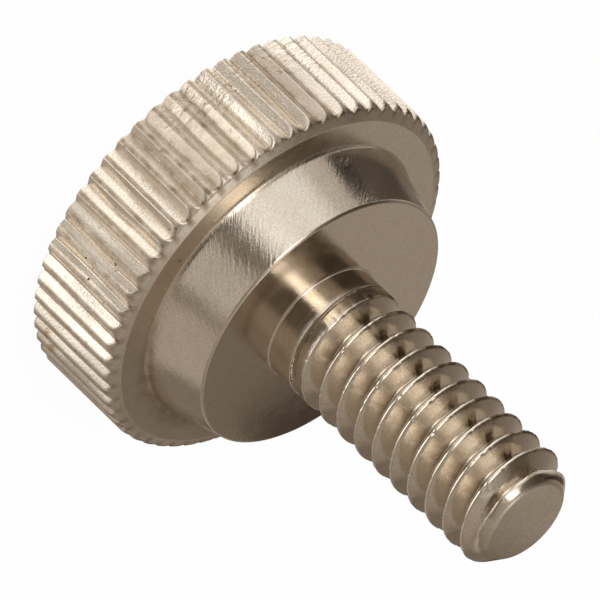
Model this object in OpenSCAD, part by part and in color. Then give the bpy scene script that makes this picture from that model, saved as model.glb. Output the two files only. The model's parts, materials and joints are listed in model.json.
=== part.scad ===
// Knurled thumb screw, turned in one piece: a straight-knurled head, a tapered collar with a flat bearing face
// and a shank at the thread's major diameter. It stands on its head, with the shank along +Z.

/* [Head] */
// Diameter over the knurled rim
head_d = 19.8; // [18.6:0.1:24]
// Thickness from the flat top to the underside
head_h = 5.6; // [4:0.1:9]
// Chamfer round the flat top
top_chamfer = 0.1; // [0.1:0.05:0.4]
// Width of the shallow bevel round the underside
bevel_w = 0.73; // [0.4:0.01:0.9]
// Height of the shallow bevel round the underside
bevel_h = 0.27; // [0.1:0.01:0.6]

/* [Knurl] */
// Number of straight grooves round the rim
groove_count = 60; // [40:1:66]
// Depth of each groove below the rim
groove_depth = 0.34; // [0.1:0.02:0.4]
// Included angle of each groove
groove_angle = 104; // [70:1:108]

/* [Collar] */
// Diameter where the collar meets the head's underside
collar_base_d = 15.5; // [14.6:0.1:16.6]
// Diameter of the flat bearing face
collar_face_d = 13.9; // [10:0.1:15]
// Height of the collar above the underside
collar_h = 3.1; // [1.5:0.1:6]
// Fillet between the collar and the underside
collar_fillet = 0.15; // [0.1:0.05:0.45]
// Broken edge round the bearing face
edge_break = 0.08; // [0.02:0.02:0.2]

/* [Shank] */
// Diameter of the shank, which is the thread's major diameter
shank_d = 6.2; // [6:0.05:6.35]
// Length of the shank from the bearing face to the tip
shank_l = 14.8; // [6:0.1:32]
// Fillet at the foot of the shank
foot_fillet = 0.1; // [0.1:0.05:0.4]
// Diameter of the flat tip, inside a chamfer of 45 degrees
tip_d = 4.6; // [3.8:0.1:5.4]

/* [Hidden] */
$fn = 120;

// Warm silver of a nickel plate
nickel = [0.72, 0.66, 0.57];

head_r = head_d / 2;
collar_base_r = collar_base_d / 2;
collar_face_r = collar_face_d / 2;
shank_r = shank_d / 2;
tip_r = tip_d / 2;

// Heights above the flat top that the screw stands on
face_z = head_h + collar_h;
tip_z = face_z + shank_l;
chamfer_z = tip_z - (shank_r - tip_r);

// Outward normal of the collar's tapered side, in the plane of the profile
taper = collar_base_r - collar_face_r;
side_len = norm([collar_h, taper]);
side_n = [collar_h, taper] / side_len;

// Centre of the fillet that touches the underside and the collar's side
fillet_c = [collar_base_r + collar_fillet * (1 - side_n.y) / side_n.x, head_h + collar_fillet];

// Each groove is a V whose sides carry on past the rim
root_r = head_r - groove_depth;
groove_reach = 2 * groove_depth;
groove_half_w = groove_reach * tan(groove_angle / 2);

module head_profile() {
    polygon([
        [0, 0],
        [head_r - top_chamfer, 0],
        [head_r, top_chamfer],
        [head_r, head_h - bevel_h],
        [head_r - bevel_w, head_h],
        [0, head_h]
    ]);
}

module collar_profile() {
    // The broken edge takes the corner between the side and the bearing face
    side_drop = [taper, -collar_h] * (edge_break / side_len);
    polygon([
        [0, head_h],
        [collar_base_r, head_h],
        [collar_face_r, face_z] + side_drop,
        [collar_face_r - edge_break, face_z],
        [0, face_z]
    ]);
    difference() {
        polygon([
            [collar_base_r, head_h],
            [fillet_c.x, head_h],
            fillet_c,
            fillet_c - collar_fillet * side_n
        ]);
        translate(fillet_c)
            circle(collar_fillet);
    }
}

module shank_profile() {
    polygon([
        [0, face_z],
        [shank_r, face_z],
        [shank_r, chamfer_z],
        [tip_r, tip_z],
        [0, tip_z]
    ]);
    difference() {
        translate([shank_r, face_z])
            square(foot_fillet);
        translate([shank_r + foot_fillet, face_z + foot_fillet])
            circle(foot_fillet);
    }
}

module knurl_grooves() {
    for (i = [0 : groove_count - 1])
        rotate(i * 360 / groove_count)
            translate([root_r, 0, -head_h / 2])
                linear_extrude(2 * head_h)
                    polygon([[0, 0], [groove_reach, -groove_half_w], [groove_reach, groove_half_w]]);
}

module thumb_screw() {
    color(nickel) {
        difference() {
            rotate_extrude()
                head_profile();
            knurl_grooves();
        }
        rotate_extrude()
            collar_profile();
        rotate_extrude()
            shank_profile();
    }
}

thumb_screw();
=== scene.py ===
"""Knurled thumb screw in satin nickel: the dressed model, its studio and its camera."""
import json
import math
import random

import bpy
import numpy as np
from mathutils import Matrix, Vector


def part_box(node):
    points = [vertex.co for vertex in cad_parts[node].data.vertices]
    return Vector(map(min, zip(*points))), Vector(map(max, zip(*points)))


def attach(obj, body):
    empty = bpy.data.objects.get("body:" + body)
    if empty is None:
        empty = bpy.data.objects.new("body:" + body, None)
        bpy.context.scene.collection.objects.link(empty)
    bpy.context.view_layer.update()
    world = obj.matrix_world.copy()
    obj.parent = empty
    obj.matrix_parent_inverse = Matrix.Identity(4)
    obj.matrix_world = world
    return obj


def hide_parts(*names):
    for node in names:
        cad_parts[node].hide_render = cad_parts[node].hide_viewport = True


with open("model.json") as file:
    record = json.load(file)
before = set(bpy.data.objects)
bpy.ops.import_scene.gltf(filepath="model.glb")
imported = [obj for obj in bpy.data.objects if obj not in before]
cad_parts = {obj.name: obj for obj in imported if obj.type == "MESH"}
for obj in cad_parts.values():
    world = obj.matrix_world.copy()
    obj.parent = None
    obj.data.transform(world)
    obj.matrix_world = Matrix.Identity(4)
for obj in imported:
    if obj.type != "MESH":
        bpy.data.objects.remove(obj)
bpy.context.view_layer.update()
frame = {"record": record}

NODE = "thumb_screw"
MM = 0.001
TAU = 2 * math.pi
SEED = 7

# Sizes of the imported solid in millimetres. Heights start at the flat top that the screw stands on
mounts = {mount["name"]: mount for mount in frame["record"]["mounts"]}
FACE_Z = mounts["bearing_face"]["pos_m"][2] / MM
TIP_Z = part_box(NODE)[1].z / MM
SHANK_R = mounts["thread"]["dims"]["r_mm"]
HEAD_R = 9.9
HEAD_H = 5.6
TOP_CHAMFER = 0.1
BEVEL_W = 0.73
BEVEL_H = 0.27
CORNER_Z = HEAD_H - BEVEL_H
COLLAR_BASE_R = 7.75
COLLAR_FACE_R = 6.95
COLLAR_FILLET = 0.15
EDGE_BREAK = 0.08
FOOT_FILLET = 0.1

# Straight knurl round the rim: steep grooves between leaning ridges, each a little different
GROOVES = 60
GROOVE_DEPTH = 0.34
STEEP = 0.78
LAND_FALL = 0.16
LAND_ROUND = 0.06
ROOT_RISE = 0.012
ROOT_ROUND = 0.02
SHALLOWEST = 0.78

# How each groove is shifted, strays sideways and changes depth up the side, and the length of those waves
SHIFT = 0.05
STRAY = 0.04
STRAY_REACH = (4, 9)
WOBBLE = 0.05
WOBBLE_REACH = (2, 5)

# Rounded lower end of the ridges: how far it reaches onto the bevel, starts below the corner and blends
END_ROUND = 0.36
END_FALL = 0.5
END_BLEND = 0.03

# Slight flare at the collar's foot, and the small round in the corner below it
FLARE_H = 0.3
FLARE_W = 0.03
FOOT_REACH = 0.06
FOOT_ROUND = 0.05

# Right-hand 60 degree thread, which runs out towards the neck
PITCH = 1.27
THREAD_DEPTH = 0.9
ROOT_HALF = 0.055
LEAST_ROOT = 0.04
LEAST_FLANK = 0.08
FLANK = math.tan(math.radians(30))
CREST_Z = FACE_Z + 2.485
RUN_START = FACE_Z + 1.15
RUN_FULL = FACE_Z + 2.6
NECK_Z = RUN_START - 0.3
CREST_ROUND = 0.03

# Small nicks in the thread's crest: their depth, and the noise at which they start and are full
NICK = 0.03
NICK_START = 0.55
NICK_FULL = 0.85

# The tip: radius of its worn flat, rounding of its edges, and where the thread's groove fades and ends
TIP_R = 2.15
TIP_ROUND = 0.13
CONE_ROUND = 0.05
TIP_FADE = 0.42
TIP_CLEAR = 0.06

# Brown darkening of each part, where 1 is darkest and more is held at 1: painted shade and dark reflections,
# and darkening in hollows
KNURL_ROOT_DARKENING = 0.6
MOST_KNURL_DARKENING = 0.66
LAND_DARKENING = 0.4
LAND_SHADE_EXTRA = 0.5
THREAD_ROOT_SHADE = 0.25
FLANK_DARK_REFLECTION = 1.15
FRONT_FLANK_REFLECTION = 0.4
CREST_DARK_REFLECTION = 1.0
RUN_OUT_DARKENING = 0.7
BEVEL_DARKENING = 0.6
WEAR_ZONE_DARK_REFLECTION = 0.28
FOOT_SHADE = 0.6

# Where painted shade, painted dark reflections and wear lie: first and last bearing from the camera's side,
# and the fade beside them
WEAR_AND_REFLECTION_ZONES = ((-2, 18, 6), (41, 47, 3))
LAND_SHADE_ZONE = (-30, -4, 5)
RIPPLE_ZONE = (18, 54, 16)
FLANK_REFLECTION_ZONE = (38, 44, 6)
FRONT_FLANK_REFLECTION_ZONE = (-22, -6, 5)
CREST_REFLECTION_ZONE = (50, 100, 10)
FOOT_SHADE_ZONE = (-120, -50, 15)
FOOT_SHADE_SPREAD = (-110, -72, 25)

# How far the painted shade at the collar's foot reaches, and how much farther where it spreads
FOOT_NEAR = 0.2
FOOT_FARTHER = 0.7

# Heights between which the ripples across the knurl fade out
RIPPLE_FADE = (1.4, 2.8)

# Roughness of the plate on each part
KNURL_ROUGH = 0.2
RIDGE_ROUGH = 0.42
UNDERSIDE_ROUGH = 0.27
COLLAR_ROUGH = 0.19
FACE_ROUGH = 0.16
SHANK_ROUGH = 0.12
THREAD_ROUGH = 0.16
TIP_ROUGH = 0.3

# How stained the plate is, on the thread and elsewhere
THREAD_STAIN = 0.1
PLATE_STAIN = 0.15

# Dark specks and brown stains on the knurl: bearing from the camera's side, height and size
SPECKS = ((-28, 3.68, 0.11), (-37, 2.77, 0.08), (-34, 2.68, 0.07), (-32.5, 2.18, 0.07), (-39.5, 4.05, 0.08))
STAINS = ((-67, 0.9, 0.3), (-72.6, 1.1, 0.35))

# A dark speck on the underside: bearing, distance from the axis and size
UNDERSIDE_SPECK = (-17, 8.34, 0.08)

# Colours of the plate, of what lies on it, and of the painted shade
PLATE_DARK = (0.63, 0.55, 0.447, 1)
PLATE_PALE = (0.71, 0.632, 0.533, 1)
TARNISH = (0.55, 0.42, 0.29, 1)
SHADE_AND_DIRT_BROWN = (0.34, 0.25, 0.16, 1)
DEEP_SHADE_AND_DIRT = (0.1, 0.07, 0.045, 1)
STAIN_BROWN = (0.4, 0.25, 0.14, 1)
SPOT_BROWN = (0.33, 0.22, 0.13, 1)
SPECK_BLACK = (0.07, 0.05, 0.035, 1)

# Noise in the plate: its scale, for each metre in space or each millimetre of the profile, and its detail
CLOUD = (700, 4)
BLOTCH = (1700, 3)
SPOTS = (3600, 1)
SPECKLE = (13000, 2)
GRAIN = (9000, 3)
TEARS = (8000, 2)
TURNING = (14, 3)

# Lines in the plate: their turn round the axis for each millimetre, and their fineness across and along
CHATTER_LINES = (-1 / 7.4, 5.5, 1.2)
RIPPLE_LINES = (0.02, 1.6, 4.5)

# Depth of the plate's marks in metres
GRAIN_DEPTH = 3.5e-6
TURNING_DEPTH = 0.6e-6
CHATTER_DEPTH = 1.2e-5
TEAR_DEPTH = 0.8e-5
RIPPLE_DEPTH = 3.5e-5

# Fineness of the mesh: columns round the shank, how close an edge's neighbours hold it, and how near to the
# thread's ends its rows join them
COLUMNS = 264
HOLD = 0.04
SNAP = 0.012

# Radii of rings on the flat top and on the tip, and how far inside the bevel the head's columns end and the
# collar's start
TOP_RINGS = (3.0, 6.0, 8.6)
TIP_RINGS = (1.3, 0.6)
HEAD_INSET = 0.3
COLLAR_INSET = 0.55

# Rows of the mesh, as shares of the stretch that they lie on
CREST_SHARES = (1.0, 0.93, 0.82, 0.6, 0.35, 0.1)
LAND_SHARES = (0.04, 0.13, 0.26, 0.4, 0.52, 0.62, 0.7, 0.78, 0.86, 0.94)
SIDE_SHARES = (0.0, 0.01, 0.1, 0.22, 0.34, 0.46, 0.58, 0.7, 0.85, 1.0)
END_SHARES = (0.14, 0.28, 0.42, 0.54, 0.64, 0.73, 0.81, 0.88, 0.94, 1.0)
BEVEL_SHARES = (0.4, 0.9, 1.0)
FLANK_SHARES = (0.1, 0.35, 0.65, 0.86)
TIP_SHARES = (0.2, 0.4, 0.6, 0.8, 1.0)

# Heights of the rows over the collar's flare
FLARE_ROWS = (0.12, 0.2, 0.28, 0.36, 0.44, 0.52)

# The photograph's view: the axis against the line of sight, its slant in the picture and the scale
SIGHT_ANGLE = math.radians(61.2)
SLANT = math.radians(43.98)
FACING = math.radians(270.9)
PIXELS = 600
PIXELS_PER_MM = 21.93
FACE_PIXEL = (321.0, 322.5)
CAMERA_DISTANCE = 1200
SENSOR = 36

# The floor: its reach, how far it lies below the screw, its colour, and how far it is lifted to white for
# the camera and in mirrors
FLOOR_REACH = 600
FLOOR_DROP = 0.02
FLOOR_PALE = (0.9, 0.92, 0.95, 1)
CAMERA_LIFT = 0.97
MIRROR_LIFT = 0.25

# The soft box above: bearing, height angle, distance, width, height and radiance
KEY_LAMP = (100, 76, 250, 110, 110, 4)

# Studio brightness round the screw: height angle in degrees, then stops of bearing from the camera's side,
# in degrees, and brightness
RAMP_TOP = 4
WARM = (1.0, 0.8, 0.62)
STUDIO = (
    (-30, (
        (-180, 0.5), (-78, 0.5), (-64, 1.3), (-46, 2.4), (-28, 2.7), (-18, 2.2), (-11, 0.9), (-6, 0.6),
        (-2, 0.6), (3, 0.7), (10, 0.8), (20, 1.4), (44, 2.0), (60, 1.9), (76, 1.85), (92, 1.75),
        (104, 1.75), (150, 1.55), (180, 0.5),
    )),
    (-24, (
        (-180, 0.4), (-120, 0.62), (-60, 0.66), (-48, 0.95), (-9, 1.05), (-6, 0.5), (-2, 0.5), (2, 1.1),
        (50, 1.2), (58, 0.16), (80, 0.12), (92, 0.8), (125, 0.8), (180, 0.45),
    )),
    (-4, (
        (-180, 0.42), (-60, 0.5), (-57, 0.29), (-48, 0.29), (-44, 0.64), (-12, 0.64), (-8, 0.17), (6, 0.17),
        (13, 1.05), (24, 1.15), (60, 1.15), (66, 0.76), (84, 0.68), (92, 0.7), (125, 0.7), (140, 0.4),
        (180, 0.38),
    )),
    (26, (
        (-180, 0.3), (-90, 0.34), (-80, 0.42), (-52, 0.42), (-36, 0.12), (6, 0.12), (13, 2.9), (24, 2.9),
        (35, 0.5), (60, 0.36), (74, 0.06), (120, 0.06), (130, 0.26), (165, 0.26), (174, 0.42), (180, 0.42),
    )),
    (60, (
        (-180, 0.6), (-165, 0.45), (-60, 0.4), (-5, 0.5), (8, 0.8), (13, 2.8), (44, 2.8), (52, 0.2),
        (110, 0.12), (145, 0.12), (154, 0.2), (180, 0.7),
    )),
    (74, (
        (-180, 1.4), (-165, 0.7), (-100, 0.45), (60, 0.45), (130, 0.4), (150, 0.8), (158, 2.6), (172, 2.3),
        (180, 1.4),
    )),
)

# Dark cards round the screw: first and last bearing, distance from the axis, lower and upper edge and
# brightness. Each bends round the axis in steps
CARD_STEPS = 16
FLAGS = (
    (72, 86, 20, 3, 6.5, 0.03),
    (86, 124, 20, 0, 6.5, 0.09),
    (124, 150, 20, 0, 6.5, 0.21),
    (-130, -92, 20, 0, 6.5, 0.26),
    (-162, -130, 20, 0, 6.5, 0.15),
    (-178, -162, 20, 10, 18.5, 0.06),
    (-162, -130, 20, 10, 18.5, 0.22),
    (-178, -130, 20, 18.5, 45, 0.23),
    (94, 132, 32, 0, 6.2, 0.1),
)


def softmin(a, b, width):
    """The smaller of two values, rounded where they cross."""
    share = np.clip(0.5 + 0.5 * (b - a) / width, 0, 1)
    return b + (a - b) * share - width * share * (1 - share)


def smoothstep(value, low, high):
    """0 up to low, 1 from high on, and a smooth rise between them."""
    share = np.clip((value - low) / (high - low), 0, 1)
    return share * share * (3 - 2 * share)


def band(value, low, high, fade):
    """1 between two values, falling to 0 over a fade outside them."""
    return smoothstep(value, low - fade, low) * (1 - smoothstep(value, high, high + fade))


def bearings(angles):
    """Bearing in degrees from the camera's side, for each angle round the axis."""
    return np.degrees((FACING - angles + math.pi) % TAU - math.pi)


def curve(start, corner, end, share):
    """A point on the curve that rounds off a corner."""
    return tuple((1 - share) ** 2 * a + 2 * share * (1 - share) * b + share ** 2 * c
                 for a, b, c in zip(start, corner, end))


def arc(centre, radius, start, end, steps):
    """Points on a circle in the plane of the profile, from one angle to the other in degrees."""
    turns = [math.radians(start + (end - start) * i / steps) for i in range(steps + 1)]
    return [(centre[0] + radius * math.cos(turn), centre[1] + radius * math.sin(turn)) for turn in turns]


def held(points):
    """The profile's points, with more in every long stretch, close to its ends so that its edges stay
    crisp."""
    result = [points[0]]
    for a, b in zip(points, points[1:]):
        length = math.dist(a, b)
        shares = [1.0]
        if length > 4 * HOLD:
            shares = [HOLD / length, 0.35, 0.65, 1 - HOLD / length, 1.0]
        result += [(a[0] + (b[0] - a[0]) * s, a[1] + (b[1] - a[1]) * s) for s in shares]
    return result


class Skin:
    """A closed surface made of rings round the Z axis, in millimetres, with what each point carries."""

    CARRIED = ("along", "shade_and_grime", "rough", "knurl", "chatter", "stain")

    def __init__(self):
        self.points = []
        self.faces = []
        self.carried = []

    def point(self, angle, radius, height, *carried):
        """Adds a point with what it carries, and returns its number."""
        self.points.append((radius * math.cos(angle), radius * math.sin(angle), height))
        self.carried.append(carried)
        return len(self.points) - 1

    def ring(self, angles, radii, heights, along, shade_and_grime=0.0, rough=UNDERSIDE_ROUGH, knurl=0.0, chatter=0.0,
             stain=PLATE_STAIN):
        """One point for each angle. Each other value is one number, or one for each angle."""
        values = np.broadcast_arrays(angles, radii, heights, along, shade_and_grime, rough, knurl, chatter, stain)
        return [self.point(*row) for row in zip(*(value.tolist() for value in values))]

    def join(self, low, high):
        """Faces between two rings with the same angles, seen from outside."""
        count = len(low)
        for i in range(count):
            k = (i + 1) % count
            self.faces.append((low[i], low[k], high[k], high[i]))

    def bridge(self, low, low_angles, high, high_angles):
        """Triangles between two rings with different angles, both starting near zero."""
        i = 0
        k = 0
        low_turn = list(low_angles) + [low_angles[0] + TAU]
        high_turn = list(high_angles) + [high_angles[0] + TAU]
        while i < len(low) or k < len(high):
            step_low = k == len(high) or (i < len(low) and low_turn[i + 1] <= high_turn[k + 1])
            a = low[i % len(low)]
            b = high[k % len(high)]
            if step_low:
                i += 1
                self.faces.append((a, low[i % len(low)], b))
            else:
                k += 1
                self.faces.append((a, high[k % len(high)], b))

    def cap(self, ring, height, along, upward, rough):
        """A fan that closes a ring at the axis."""
        middle = self.point(0, 0, height, along, 0.0, rough, 0.0, 0.0, PLATE_STAIN)
        for i in range(len(ring)):
            k = (i + 1) % len(ring)
            if upward:
                self.faces.append((ring[i], ring[k], middle))
            else:
                self.faces.append((ring[k], ring[i], middle))


class Knurl:
    """Columns round the rim: where each stands, how deep it lies and how its groove strays up the side."""

    def __init__(self, draw):
        rows = []
        for groove in range(GROOVES):
            share = draw.uniform(SHALLOWEST, 1.0)
            shift = SHIFT * draw.uniform(-1, 1)
            phase = draw.uniform(0, TAU)
            reach = draw.uniform(*STRAY_REACH)
            wobble_phase = draw.uniform(0, TAU)
            wobble_reach = draw.uniform(*WOBBLE_REACH)
            ways = (shift, phase, reach, wobble_phase, wobble_reach)
            for offset, drop in self.section():
                angle = groove * TAU / GROOVES - offset / HEAD_R
                rows.append((angle, share * drop, drop / GROOVE_DEPTH, float(offset < 0), *ways))
        columns = [np.array(column) for column in zip(*rows)]
        self.angle, self.depth, self.grip, self.lee = columns[:4]
        self.shift, self.phase, self.reach, self.wobble_phase, self.wobble_reach = columns[4:]

    def section(self):
        """Offsets and drops across one groove, from the sharp crest on one side to just short of the next.
        The wall below that crest is straight, and the other wall ends in a dull, sloping land."""
        spacing = TAU * HEAD_R / GROOVES
        crest = GROOVE_DEPTH / STEEP
        far = spacing - crest
        spots = [crest * share for share in CREST_SHARES] + [0.0]
        spots += [-far * share for share in LAND_SHARES]
        spots = np.array(spots)
        near_wall = STEEP * spots
        land = GROOVE_DEPTH - LAND_FALL * (spots + far)
        far_wall = -STEEP * spots
        height = np.where(spots > 0, near_wall, softmin(far_wall, land, LAND_ROUND))
        height = -softmin(-height, -ROOT_RISE, ROOT_ROUND)
        drops = np.clip(GROOVE_DEPTH - height, 0, GROOVE_DEPTH)
        return list(zip(spots.tolist(), drops.tolist()))

    def row(self, height):
        """Angles and radii of the columns at a height up the side."""
        stray = self.grip * (self.shift + STRAY * np.sin(TAU * height / self.reach + self.phase))
        wobble = 1 + WOBBLE * np.sin(TAU * height / self.wobble_reach + self.wobble_phase)
        return self.angle + stray / HEAD_R, HEAD_R - np.minimum(self.depth * wobble, GROOVE_DEPTH)


def knurl_end():
    """Radius and height on the bevel where the rounded end of the knurl stops."""
    bevel_length = math.hypot(BEVEL_W, BEVEL_H)
    return HEAD_R - BEVEL_W * END_ROUND / bevel_length, CORNER_Z + BEVEL_H * END_ROUND / bevel_length


def head_rows(knurl):
    """Rows of the head from the flat top over its side to the underside: angles, radii, heights and how
    far each row is knurled."""
    flat_r = HEAD_R - TOP_CHAMFER
    bevel_inner = HEAD_R - BEVEL_W
    side_high = CORNER_Z - END_FALL
    end_r, end_z = knurl_end()
    angles, rim = knurl.row(0)
    top_r = np.minimum(rim - HOLD, flat_r)
    rows = [(angles, radius, 0.0, 0.0) for radius in TOP_RINGS]
    rows += [(angles, top_r - HOLD, 0.0, 0.0), (angles, top_r, 0.0, 0.0)]
    for share in SIDE_SHARES:
        angles, rim = knurl.row(share * side_high)
        side_low = np.maximum(HOLD, rim - flat_r)
        rows.append((angles, rim, side_low + share * (side_high - side_low), 1.0))
    for share in END_SHARES:
        radius, height = curve((HEAD_R, side_high), (HEAD_R, CORNER_Z), (end_r, end_z), share)
        knurled = 1.0 if share < 0.6 else 2.5 * (1 - share)
        rows.append((angles, softmin(rim, radius, END_BLEND), height, knurled))
    for share in BEVEL_SHARES:
        radius = end_r + share * (bevel_inner - end_r)
        rows.append((angles, radius, end_z + share * (HEAD_H - end_z), 0.0))
    return rows + [(angles, bevel_inner - inset, HEAD_H, 0.0) for inset in (HOLD, HEAD_INSET)]


def add_head(skin, draw):
    """The flat top, the knurled side and the underside's bevel. Returns the last ring, its angles and how
    far along the profile it lies."""
    knurl = Knurl(draw)
    bearing = bearings(knurl.angle)
    # Bearings where the knurl is rougher and painted darker as a dark reflection
    wear_and_reflection = sum(band(bearing, *zone) for zone in WEAR_AND_REFLECTION_ZONES)
    dull = smoothstep(-knurl.grip, -0.24, -0.1) * knurl.lee
    # Darker on the sloping lands, with painted shade added at bearings -30 to -4 from the camera's side
    darker_lands = LAND_DARKENING * dull * (1 + LAND_SHADE_EXTRA * band(bearing, *LAND_SHADE_ZONE))
    # Darker towards the bottom of the grooves
    shade_and_dirt = KNURL_ROOT_DARKENING * smoothstep(knurl.depth, 0.7 * GROOVE_DEPTH, 0.95 * GROOVE_DEPTH)
    shade_and_dirt = np.minimum(shade_and_dirt + darker_lands + WEAR_ZONE_DARK_REFLECTION * wear_and_reflection, MOST_KNURL_DARKENING)
    # Darker between the ridges' ends on the bevel
    between = BEVEL_DARKENING * smoothstep(knurl.grip, 0.3, 0.9)
    side_rough = KNURL_ROUGH + (RIDGE_ROUGH - KNURL_ROUGH) * np.maximum(dull, 0.4 * wear_and_reflection)
    ripple = band(bearing, *RIPPLE_ZONE)
    end_z = knurl_end()[1]
    along = 0.0
    last = None
    first_ring = None
    previous = (0.0, 0.0)
    for angles, radius, height, knurled in head_rows(knurl):
        place = (float(np.mean(radius)), float(np.mean(height)))
        along += math.dist(place, previous)
        previous = place
        rough = UNDERSIDE_ROUGH + knurled * (side_rough - UNDERSIDE_ROUGH)
        torn = knurled * (1 + ripple * (1 - smoothstep(place[1], *RIPPLE_FADE)))
        bevel_band = band(place[1], CORNER_Z - 0.05, end_z + 0.02, 0.1)
        ring = skin.ring(angles, radius, height, along, shade_and_dirt * knurled + between * bevel_band, rough, torn)
        if last is None:
            first_ring = ring
        else:
            skin.join(last, ring)
        last = ring
    skin.cap(first_ring, 0.0, 0.0, False, UNDERSIDE_ROUGH)
    return last, knurl.angle, along


def collar_profile():
    """Radius and height from the head's underside over the tapered collar and its face to the plain neck."""
    taper = COLLAR_BASE_R - COLLAR_FACE_R
    rise = FACE_Z - HEAD_H
    drop = EDGE_BREAK / math.hypot(taper, rise)
    foot_r = COLLAR_BASE_R + FLARE_W + FOOT_REACH
    points = [(HEAD_R - BEVEL_W - COLLAR_INSET, HEAD_H), (foot_r + FOOT_ROUND, HEAD_H), (foot_r, HEAD_H)]
    points.append((foot_r - 0.5 * FOOT_ROUND, HEAD_H + 0.3 * FOOT_ROUND))
    points.append((foot_r - FOOT_ROUND, HEAD_H + FOOT_ROUND))
    for height in FLARE_ROWS:
        flare = FLARE_W * max(0.0, 1 - height / FLARE_H) ** 2
        points.append((COLLAR_BASE_R - taper * height / rise + flare, HEAD_H + height))
    points.append((COLLAR_FACE_R + taper * drop, FACE_Z - rise * drop))
    points.append((COLLAR_FACE_R - EDGE_BREAK, FACE_Z))
    points += arc((SHANK_R + FOOT_FILLET, FACE_Z + FOOT_FILLET), FOOT_FILLET, 270, 180, 4)
    points.append((SHANK_R, NECK_Z))
    return held(points)


def collar_finish(radius, height):
    """Roughness of the plate at a point of the collar's profile, and whether the tool chattered there."""
    if height < HEAD_H + 0.5 * FOOT_ROUND:
        return UNDERSIDE_ROUGH, 0.0
    if height < FACE_Z - EDGE_BREAK:
        return COLLAR_ROUGH, 1.0
    return (FACE_ROUGH if radius > SHANK_R + FOOT_FILLET else SHANK_ROUGH), 0.0


def shade_at_foot(radius, height, bearing):
    """Painted shade in the corner at the collar's foot, which spreads over the underside on the far left."""
    reach = FOOT_NEAR + FOOT_FARTHER * band(bearing, *FOOT_SHADE_SPREAD)
    away = max(radius - COLLAR_BASE_R, 0) + 2 * max(height - HEAD_H - COLLAR_FILLET, 0)
    return FOOT_SHADE * band(bearing, *FOOT_SHADE_ZONE) * (1 - smoothstep(away, 0.2 * reach, 1.2 * reach))


def add_collar(skin, head_ring, head_angles, along):
    """The underside, the collar, the bearing face and the plain neck. Returns the last ring and how far
    along the profile it lies."""
    angles = np.arange(COLUMNS) * TAU / COLUMNS
    last = None
    previous = None
    for radius, height in collar_profile():
        if previous is not None:
            along += math.dist((radius, height), previous)
        previous = (radius, height)
        rough, chatter = collar_finish(radius, height)
        # Painted shade at the collar's foot
        shade_and_dirt = shade_at_foot(radius, height, bearings(angles))
        ring = skin.ring(angles, radius, height, along, shade_and_dirt, rough, chatter=chatter)
        if last is None:
            skin.bridge(head_ring, head_angles, ring, angles)
        else:
            skin.join(last, ring)
        last = ring
    return last, along


def crest_nicks(draw, count):
    """How far small nicks lower the crest, at each column of each turn, one turn after another."""
    values = np.array([draw.random() for _ in range(count)])
    smooth = (values + np.roll(values, 1) + np.roll(values, 2)) / 3
    return NICK * np.clip((smooth - NICK_START) / (NICK_FULL - NICK_START), 0, 1)


def groove_rows(centre_z, painted_flank_reflection, painted_crest_reflection, nick_below, nick_above):
    """Heights, depths and darkening across one thread groove, from the crest below it to just short of the
    next.
    centre_z is the height of the groove's middle at each angle, the next two values the painted dark
    reflection on its sides there and on the crests beside it, and the nicks lower those crests."""
    share = smoothstep(centre_z, RUN_START, RUN_FULL)
    depth = THREAD_DEPTH * share
    root = np.maximum(ROOT_HALF * share, LEAST_ROOT)
    span = np.maximum(depth * FLANK, LEAST_FLANK)
    width = root + span
    edge = np.minimum(CREST_ROUND, 0.2 * span)
    half = [0 * root, 0.6 * root] + [root + part * span for part in FLANK_SHARES]
    half += [width - edge, width, width + edge]
    offsets = [0 * root - PITCH / 2] + [-offset for offset in reversed(half[1:])] + half
    rows = []
    for i, offset in enumerate(offsets):
        cut = depth * (width - np.abs(offset)) / span
        cut = softmin(cut, depth, 0.02 + 0.02 * share)
        cut = -softmin(-cut, 0.0, 0.01 + 0.035 * share)
        cut = np.clip(cut, 0, depth)
        deep = cut / np.maximum(depth, 0.01)
        # Painted shade in the thread's roots
        shade_and_dirt = THREAD_ROOT_SHADE * smoothstep(deep, 0.84, 0.97)
        # Darker in the shallow grooves where the thread runs out
        shade_and_dirt = shade_and_dirt + RUN_OUT_DARKENING * (1 - share) * smoothstep(deep, 0.1, 0.6)
        # Painted dark reflection on the flanks at some bearings from the camera's side
        shade_and_dirt = shade_and_dirt + painted_flank_reflection * share * smoothstep(deep, 0.1, 0.7)
        # Painted dark reflection on the crests at some bearings from the camera's side
        shade_and_dirt = shade_and_dirt + painted_crest_reflection * share * (1 - smoothstep(deep, 0.03, 0.15))
        nick = nick_below if i < len(half) else nick_above
        lowered = cut + smoothstep(share, 0.7, 1) * nick * smoothstep(-deep, -0.2, -0.05)
        rows.append((centre_z + offset, lowered, np.minimum(shade_and_dirt, 1)))
    return rows


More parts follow.
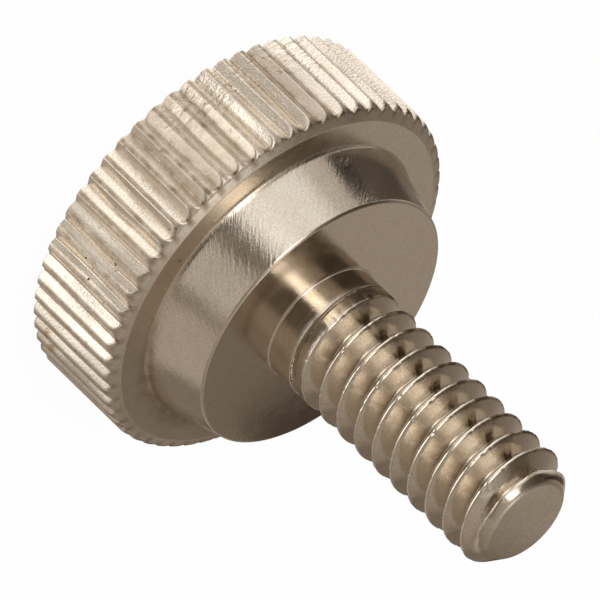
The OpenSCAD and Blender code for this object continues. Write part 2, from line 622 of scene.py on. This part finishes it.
def thread_rows(draw, angles, high_z):
    """Heights, depths and darkening, painted shade included, of the rows that climb with the thread, and how
    many make one turn.
    """
    climb = PITCH * angles / TAU
    first = math.floor((NECK_Z - CREST_Z) / PITCH) - 2
    final = math.ceil((high_z - CREST_Z) / PITCH) + 1
    bearing = bearings(angles)
    # Painted dark reflections on the flanks and crests, by bearing from the camera's side
    painted_flank_reflection = FLANK_DARK_REFLECTION * band(bearing, *FLANK_REFLECTION_ZONE) + FRONT_FLANK_REFLECTION * band(bearing, *FRONT_FLANK_REFLECTION_ZONE)
    painted_crest_reflection = CREST_DARK_REFLECTION * band(bearing, *CREST_REFLECTION_ZONE)
    nicks = crest_nicks(draw, (final - first + 2) * COLUMNS + 1)
    rows = []
    for groove in range(first, final):
        start = (groove - first) * COLUMNS
        below = nicks[start:start + COLUMNS + 1]
        above = nicks[start + COLUMNS:start + 2 * COLUMNS + 1]
        rows += groove_rows(CREST_Z + (groove + 0.5) * PITCH + climb, painted_flank_reflection, painted_crest_reflection, below, above)
    heights, cuts, shade_and_dirt = (np.array(values) for values in zip(*rows))
    cuts *= 1 - smoothstep(heights, high_z - TIP_CLEAR - TIP_FADE, high_z - TIP_CLEAR)
    return heights, cuts, shade_and_dirt, len(rows) // (final - first)


def add_thread(skin, neck_ring, along, draw):
    """The helical thread: rows that climb with it, cut off level at the neck and at the tip. Returns the
    tip's ring and how far along the profile it lies."""
    high_z = TIP_Z - TIP_ROUND
    angles = np.arange(COLUMNS + 1) * TAU / COLUMNS
    heights, cuts, shade_and_dirt, per_turn = thread_rows(draw, angles, high_z)
    cone = TIP_R + TIP_Z - heights
    radii = softmin(SHANK_R - cuts, cone, CONE_ROUND)
    tip_along = along + high_z - NECK_Z
    tip_ring = skin.ring(angles[:-1], TIP_R + TIP_ROUND, high_z, tip_along, rough=THREAD_ROUGH)
    index = np.zeros(heights.shape, int)
    count = len(heights)
    for j in range(count):
        for i in range(COLUMNS):
            z = heights[j, i]
            if z < NECK_Z + SNAP:
                index[j, i] = neck_ring[i]
            elif z > high_z - SNAP:
                index[j, i] = tip_ring[i]
            else:
                finish = (along + z - NECK_Z, shade_and_dirt[j, i], THREAD_ROUGH, 0.0, 0.0, THREAD_STAIN)
                index[j, i] = skin.point(angles[i], radii[j, i], z, *finish)
    for j in range(count - per_turn):
        index[j, COLUMNS] = index[j + per_turn, 0]
    for j in range(count - per_turn - 1):
        for i in range(COLUMNS):
            corners = (index[j, i], index[j, i + 1], index[j + 1, i + 1], index[j + 1, i])
            face = tuple(dict.fromkeys(int(corner) for corner in corners))
            if len(face) > 2:
                skin.faces.append(face)
    return tip_ring, tip_along


def add_tip(skin, tip_ring, along):
    """The rounded edge of the tip and its flat end."""
    angles = np.arange(COLUMNS) * TAU / COLUMNS
    start = (TIP_R + TIP_ROUND, TIP_Z - TIP_ROUND)
    end = (TIP_R - 1.4 * TIP_ROUND, TIP_Z)
    places = [curve(start, (TIP_R, TIP_Z), end, share) for share in TIP_SHARES]
    places += [(radius, TIP_Z) for radius in TIP_RINGS]
    last = tip_ring
    for radius, height in places:
        along += 0.1
        ring = skin.ring(angles, radius, height, along, rough=TIP_ROUGH)
        skin.join(last, ring)
        last = ring
    skin.cap(last, TIP_Z, along + 1, True, TIP_ROUGH)


def screw_mesh():
    """The whole screw as one closed mesh in metres."""
    draw = random.Random(SEED)
    skin = Skin()
    head_ring, head_angles, along = add_head(skin, draw)
    neck_ring, along = add_collar(skin, head_ring, head_angles, along)
    tip_ring, along = add_thread(skin, neck_ring, along, draw)
    add_tip(skin, tip_ring, along)
    mesh = bpy.data.meshes.new("screw_body")
    mesh.from_pydata([Vector(point) * MM for point in skin.points], [], skin.faces)
    for name, values in zip(Skin.CARRIED, zip(*skin.carried)):
        carried = mesh.attributes.new(name, "FLOAT", "POINT")
        carried.data.foreach_set("value", np.array(values, np.float32))
    mesh.shade_smooth()
    mesh.validate()
    return mesh


def new_node(tree, kind, **inputs):
    """A node with some of its inputs set, by name, to values or linked to other nodes' outputs."""
    node = tree.nodes.new(kind)
    for name, value in inputs.items():
        connect(tree, node, name.replace("_", " "), value)
    return node


def connect(tree, node, name, value):
    """Sets an input to a value, or links it to an output."""
    socket = node.inputs[int(name)] if name.isdigit() else node.inputs[name]
    if isinstance(value, bpy.types.NodeSocket):
        tree.links.new(value, socket)
    else:
        socket.default_value = value


def math_node(tree, operation, first, second=0.0, clamp=False):
    """The output of a Math node."""
    node = tree.nodes.new("ShaderNodeMath")
    node.operation = operation
    node.use_clamp = clamp
    connect(tree, node, "0", first)
    connect(tree, node, "1", second)
    return node.outputs[0]


def vector_node(tree, operation, first, second=None):
    """The output of a Vector Math node. The first value is an output, and the second, if any, a vector."""
    node = tree.nodes.new("ShaderNodeVectorMath")
    node.operation = operation
    tree.links.new(first, node.inputs[0])
    if second is not None:
        node.inputs[1].default_value = second
    return node.outputs["Value" if operation in ("LENGTH", "DOT_PRODUCT", "DISTANCE") else "Vector"]


def attribute(tree, name):
    """A value that the mesh carries at its points."""
    node = tree.nodes.new("ShaderNodeAttribute")
    node.attribute_name = name
    return node.outputs["Fac"]


def noise(tree, vector, scale, detail):
    """Cloudy noise from 0 to 1 in space."""
    return new_node(tree, "ShaderNodeTexNoise", Vector=vector, Scale=scale, Detail=detail).outputs["Fac"]


def ring_noise(tree, along, scale, detail):
    """Noise from 0 to 1 that changes only along the profile, so that it runs round as turning marks do."""
    node = tree.nodes.new("ShaderNodeTexNoise")
    node.noise_dimensions = "1D"
    connect(tree, node, "W", along)
    connect(tree, node, "Scale", scale)
    connect(tree, node, "Detail", detail)
    return node.outputs["Fac"]


def stretched(tree, place, along, turn, across, lengthwise):
    """Texture coordinates drawn out along lines that wind round the axis by an angle for each millimetre."""
    angle = math_node(tree, "MULTIPLY", along, turn)
    wind = new_node(tree, "ShaderNodeVectorRotate", Vector=place, Angle=angle)
    wind.rotation_type = "Z_AXIS"
    parts = new_node(tree, "ShaderNodeSeparateXYZ", Vector=wind.outputs[0]).outputs
    sides = [math_node(tree, "MULTIPLY", parts[name], across / MM) for name in ("X", "Y")]
    length = math_node(tree, "MULTIPLY", along, lengthwise)
    return new_node(tree, "ShaderNodeCombineXYZ", X=sides[0], Y=sides[1], Z=length).outputs[0]


def map_range(tree, value, low, high, to_low, to_high):
    """A value stretched from one range to another and held at its ends."""
    node = tree.nodes.new("ShaderNodeMapRange")
    connect(tree, node, "Value", value)
    connect(tree, node, "From Min", low)
    connect(tree, node, "From Max", high)
    connect(tree, node, "To Min", to_low)
    connect(tree, node, "To Max", to_high)
    return node.outputs[0]


def mix_colour(tree, factor, first, second):
    """A blend of two colours."""
    node = tree.nodes.new("ShaderNodeMix")
    node.data_type = "RGBA"
    connect(tree, node, "Factor", factor)
    for name, colour in (("A", first), ("B", second)):
        socket = [s for s in node.inputs if s.name == name and s.type == "RGBA"][0]
        if isinstance(colour, bpy.types.NodeSocket):
            tree.links.new(colour, socket)
        else:
            socket.default_value = colour
    return [s for s in node.outputs if s.type == "RGBA"][0]


def bump(tree, height, distance, normal=None):
    """A normal roughened by a height from 0 to 1 times a distance in metres."""
    node = new_node(tree, "ShaderNodeBump", Height=height, Distance=distance, Strength=1.0)
    if normal is not None:
        tree.links.new(normal, node.inputs["Normal"])
    return node.outputs[0]


def direction(bearing, rise):
    """Unit vector at a height angle and a bearing, which grows from the camera's side to the picture's upper
    right."""
    angle = FACING - math.radians(bearing)
    level = math.cos(math.radians(rise))
    return Vector((level * math.cos(angle), level * math.sin(angle), math.sin(math.radians(rise))))


def marks(tree, place, spots, edge):
    """From 0 to 1, how far a place on the rim lies inside any of some round spots. edge is the share of
    their size that fades."""
    total = 0.0
    for bearing, height, size in spots:
        out = direction(bearing, 0)
        offset = vector_node(tree, "SUBTRACT", place, Vector((0, 0, height * MM)))
        away = vector_node(tree, "LENGTH", vector_node(tree, "CROSS_PRODUCT", offset, out))
        inside = map_range(tree, away, (1 - edge) * size * MM, size * MM, 1.0, 0.0)
        ahead = vector_node(tree, "DOT_PRODUCT", offset, out)
        near = math_node(tree, "GREATER_THAN", ahead, HEAD_R * MM / 2)
        total = math_node(tree, "MAXIMUM", math_node(tree, "MULTIPLY", inside, near), total)
    return total


def underside_mark(tree, place, bearing, distance, size):
    """From 0 to 1, how far a place lies inside a round spot on the head's underside."""
    centre = direction(bearing, 0) * distance + Vector((0, 0, HEAD_H))
    away = vector_node(tree, "DISTANCE", place, centre * MM)
    return map_range(tree, away, 0.5 * size * MM, size * MM, 1.0, 0.0)


def plate_colour(tree, place, cloud, blotch, shade_and_dirt, knurl):
    """Colour of the plate with its stains, dirt and painted shade, spots and specks."""
    colour = mix_colour(tree, cloud, PLATE_DARK, PLATE_PALE)
    stained = map_range(tree, blotch, 0.48, 0.7, 0.0, 1.0)
    stained = math_node(tree, "MULTIPLY", stained, attribute(tree, "stain"))
    colour = mix_colour(tree, stained, colour, TARNISH)
    # Brown where painted shade, painted dark reflections and darkening lie, near black where they are
    # deepest
    colour = mix_colour(tree, shade_and_dirt, colour, SHADE_AND_DIRT_BROWN)
    darkest = map_range(tree, shade_and_dirt, 0.76, 1.0, 0.0, 0.85)
    colour = mix_colour(tree, darkest, colour, DEEP_SHADE_AND_DIRT)
    colour = mix_colour(tree, marks(tree, place, STAINS, 1.0), colour, STAIN_BROWN)
    spots = map_range(tree, noise(tree, place, *SPOTS), 0.68, 0.76, 0.0, 0.6)
    spots = math_node(tree, "MULTIPLY", spots, knurl, clamp=True)
    colour = mix_colour(tree, spots, colour, SPOT_BROWN)
    specks = math_node(tree, "MAXIMUM", marks(tree, place, SPECKS, 0.4),
                       underside_mark(tree, place, *UNDERSIDE_SPECK))
    colour = mix_colour(tree, specks, colour, SPECK_BLACK)
    shade = map_range(tree, noise(tree, place, *SPECKLE), 0.3, 0.7, 0.86, 1.1)
    speckled = tree.nodes.new("ShaderNodeVectorMath")
    speckled.operation = "SCALE"
    tree.links.new(colour, speckled.inputs[0])
    tree.links.new(shade, speckled.inputs["Scale"])
    return speckled.outputs[0]


def plate_normal(tree, place, knurl):
    """Normal of the plate: grain and turning marks all over, chatter on the collar, tears and ripples on the
    knurl."""
    along = attribute(tree, "along")
    grain = noise(tree, place, *GRAIN)
    rings = ring_noise(tree, along, *TURNING)
    chatter = noise(tree, stretched(tree, place, along, *CHATTER_LINES), 1, 2)
    chattered = math_node(tree, "MULTIPLY", chatter, attribute(tree, "chatter"))
    tears = noise(tree, place, *TEARS)
    ripples = noise(tree, stretched(tree, place, along, *RIPPLE_LINES), 1, 1)
    crossed = math_node(tree, "SUBTRACT", knurl, 1.0, clamp=True)
    normal = bump(tree, grain, GRAIN_DEPTH)
    normal = bump(tree, rings, TURNING_DEPTH, normal)
    normal = bump(tree, chattered, CHATTER_DEPTH, normal)
    normal = bump(tree, math_node(tree, "MULTIPLY", tears, knurl), TEAR_DEPTH, normal)
    return bump(tree, math_node(tree, "MULTIPLY", ripples, crossed), RIPPLE_DEPTH, normal)


def nickel_material():
    """Satin nickel plate, smeared, a little dirty, and painted darker in places as shade and dark
    reflections.
    """
    material = bpy.data.materials.new("nickel_plate")
    material.use_nodes = True
    tree = material.node_tree
    shader = tree.nodes["Principled BSDF"]
    shader.inputs["Metallic"].default_value = 1.0
    place = tree.nodes.new("ShaderNodeTexCoord").outputs["Object"]
    knurl = attribute(tree, "knurl")
    cloud = noise(tree, place, *CLOUD)
    blotch = noise(tree, place, *BLOTCH)
    patchy = map_range(tree, blotch, 0.35, 0.65, 0.6, 1.25)
    shade_and_dirt = math_node(tree, "MULTIPLY", attribute(tree, "shade_and_grime"), patchy, clamp=True)
    smears = map_range(tree, cloud, 0.3, 0.7, -0.03, 0.05)
    rough = math_node(tree, "ADD", attribute(tree, "rough"), smears)
    rough = math_node(tree, "ADD", rough, math_node(tree, "MULTIPLY", shade_and_dirt, 0.3))
    tree.links.new(plate_colour(tree, place, cloud, blotch, shade_and_dirt, knurl), shader.inputs["Base Color"])
    tree.links.new(rough, shader.inputs["Roughness"])
    tree.links.new(plate_normal(tree, place, knurl), shader.inputs["Normal"])
    return material


def add_screw():
    """The dressed screw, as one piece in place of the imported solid."""
    piece = bpy.data.objects.new("screw_body", screw_mesh())
    bpy.context.scene.collection.objects.link(piece)
    piece.data.materials.append(nickel_material())
    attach(piece, "root")
    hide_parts(NODE)


def floor_material():
    """Pale floor: white where the camera sees it, with the screw's soft shadow, and lifted in mirrors."""
    material = bpy.data.materials.new("pale_floor")
    material.use_nodes = True
    tree = material.node_tree
    shader = tree.nodes["Principled BSDF"]
    shader.inputs["Base Color"].default_value = FLOOR_PALE
    shader.inputs["Roughness"].default_value = 0.9
    white = new_node(tree, "ShaderNodeEmission", Color=(1, 1, 1, 1), Strength=1.0)
    rays = tree.nodes.new("ShaderNodeLightPath").outputs
    mirrored = math_node(tree, "MAXIMUM", rays["Is Glossy Ray"], rays["Is Transmission Ray"])
    seen = math_node(tree, "MULTIPLY", rays["Is Camera Ray"], CAMERA_LIFT)
    reflected = math_node(tree, "MULTIPLY", mirrored, MIRROR_LIFT)
    lift = math_node(tree, "MAXIMUM", seen, reflected)
    mix = tree.nodes.new("ShaderNodeMixShader")
    tree.links.new(lift, mix.inputs[0])
    tree.links.new(shader.outputs[0], mix.inputs[1])
    tree.links.new(white.outputs[0], mix.inputs[2])
    tree.links.new(mix.outputs[0], tree.nodes["Material Output"].inputs["Surface"])
    return material


def add_floor():
    """A square floor just below the screw. The metal reflects the studio instead of it."""
    mesh = bpy.data.meshes.new("floor")
    reach = FLOOR_REACH * MM
    corners = [(-reach, -reach, 0), (reach, -reach, 0), (reach, reach, 0), (-reach, reach, 0)]
    mesh.from_pydata(corners, [], [(0, 1, 2, 3)])
    floor = bpy.data.objects.new("floor", mesh)
    floor.location.z = -FLOOR_DROP * MM
    floor.data.materials.append(floor_material())
    floor.visible_glossy = False
    bpy.context.scene.collection.objects.link(floor)


def tinted(shade, level):
    """A grey that is warmer where the studio is dim."""
    white = min(level, 1.0)
    return [shade * (white + (1 - white) * tone) for tone in WARM]


def bearing_ramp(tree, bearing, stops):
    """Brightness round the horizon from (bearing in degrees, brightness) stops."""
    ramp = tree.nodes.new("ShaderNodeValToRGB")
    tree.links.new(bearing, ramp.inputs[0])
    elements = ramp.color_ramp.elements
    while len(elements) < len(stops):
        elements.new(0.5)
    for element, (degrees, level) in zip(elements, stops):
        element.position = (degrees + 180) / 360
        element.color = (*tinted(level / RAMP_TOP, level), 1)
    return ramp.outputs[0]


def add_world():
    """A plain studio round the screw: pale and dark by height and by bearing from the camera's side."""
    world = bpy.data.worlds.new("studio")
    bpy.context.scene.world = world
    world.use_nodes = True
    tree = world.node_tree
    place = tree.nodes.new("ShaderNodeTexCoord").outputs["Generated"]
    parts = new_node(tree, "ShaderNodeSeparateXYZ", Vector=place).outputs
    # The bearing as a share of a turn, with 0.5 towards -Y, which is within a degree of the camera's side
    sideways = math_node(tree, "MULTIPLY", parts["X"], -1.0)
    forward = math_node(tree, "MULTIPLY", parts["Y"], -1.0)
    turn = math_node(tree, "ARCTAN2", sideways, forward)
    bearing = math_node(tree, "MULTIPLY_ADD", turn, 1 / TAU)
    bearing.node.inputs[2].default_value = 0.5
    rise = math_node(tree, "ARCSINE", parts["Z"])
    level = bearing_ramp(tree, bearing, STUDIO[0][1])
    for (low, _), (high, stops) in zip(STUDIO, STUDIO[1:]):
        blend = tree.nodes.new("ShaderNodeMapRange")
        blend.interpolation_type = "SMOOTHSTEP"
        connect(tree, blend, "Value", rise)
        connect(tree, blend, "From Min", math.radians(low))
        connect(tree, blend, "From Max", math.radians(high))
        level = mix_colour(tree, blend.outputs[0], level, bearing_ramp(tree, bearing, stops))
    camera_ray = tree.nodes.new("ShaderNodeLightPath").outputs["Is Camera Ray"]
    level = mix_colour(tree, camera_ray, level, (1 / RAMP_TOP, 1 / RAMP_TOP, 1 / RAMP_TOP, 1))
    background = tree.nodes["Background"]
    tree.links.new(level, background.inputs["Color"])
    background.inputs["Strength"].default_value = RAMP_TOP


def add_lamp(name, bearing, rise, distance, width, height, radiance):
    """A soft box that faces the screw. Distances are in millimetres."""
    data = bpy.data.lights.new(name, "AREA")
    data.shape = "RECTANGLE"
    data.size = width * MM
    data.size_y = height * MM
    data.energy = radiance * math.pi * data.size * data.size_y
    lamp = bpy.data.objects.new(name, data)
    aim = Vector((0, 0, FACE_Z))
    place = aim + distance * direction(bearing, rise)
    turn = (place - aim).to_track_quat("Z", "Y").to_matrix().to_4x4()
    lamp.matrix_world = Matrix.Translation(place * MM) @ turn
    lamp.visible_camera = False
    lamp.visible_glossy = False
    bpy.context.scene.collection.objects.link(lamp)


def card_material(name, level):
    """The even glow of a card that the metal reflects."""
    material = bpy.data.materials.new(name)
    material.use_nodes = True
    tree = material.node_tree
    glow = new_node(tree, "ShaderNodeEmission", Color=(*tinted(1, level), 1), Strength=level)
    tree.links.new(glow.outputs[0], tree.nodes["Material Output"].inputs["Surface"])
    return material


def add_card(name, first, last, distance, low, high, level):
    """An upright card round part of the axis, from one bearing to another, that only the metal sees."""
    points = []
    for i in range(CARD_STEPS + 1):
        side = direction(first + (last - first) * i / CARD_STEPS, 0)
        for height in (low, high):
            points.append((side * distance + Vector((0, 0, height))) * MM)
    mesh = bpy.data.meshes.new(name)
    mesh.from_pydata(points, [], [(2 * i, 2 * i + 2, 2 * i + 3, 2 * i + 1) for i in range(CARD_STEPS)])
    mesh.materials.append(card_material(name, level))
    card = bpy.data.objects.new(name, mesh)
    card.visible_camera = False
    card.visible_diffuse = False
    card.visible_transmission = False
    card.visible_shadow = False
    bpy.context.scene.collection.objects.link(card)


def add_camera():
    """The photograph's view: a long lens, rolled so that the shank runs down to the right."""
    axis = Vector((0, 0, 1))
    front = Vector((math.cos(FACING), math.sin(FACING), 0))
    sight = math.cos(SIGHT_ANGLE) * axis + math.sin(SIGHT_ANGLE) * front
    along_axis = (axis - axis.dot(sight) * sight).normalized()
    across = Vector((math.sin(FACING), -math.cos(FACING), 0))
    right = math.cos(SLANT) * along_axis + math.sin(SLANT) * across
    up = -math.sin(SLANT) * along_axis + math.cos(SLANT) * across
    shift_right = (FACE_PIXEL[0] - PIXELS / 2) / PIXELS_PER_MM
    shift_down = (FACE_PIXEL[1] - PIXELS / 2) / PIXELS_PER_MM
    target = FACE_Z * axis - shift_right * right + shift_down * up
    place = target + CAMERA_DISTANCE * sight
    data = bpy.data.cameras.new("camera")
    data.sensor_width = SENSOR
    data.lens = SENSOR * CAMERA_DISTANCE / (PIXELS / PIXELS_PER_MM)
    data.clip_start = 0.01
    data.clip_end = 10
    camera = bpy.data.objects.new("camera", data)
    turn = Matrix((right, up, sight)).transposed().to_4x4()
    camera.matrix_world = Matrix.Translation(place * MM) @ turn
    bpy.context.scene.collection.objects.link(camera)
    bpy.context.scene.camera = camera


add_screw()
add_floor()
add_world()
add_lamp("key", *KEY_LAMP)
for i, flag in enumerate(FLAGS):
    add_card(f"flag_{i}", *flag)
add_camera()
bpy.context.scene.view_settings.view_transform = "Standard"
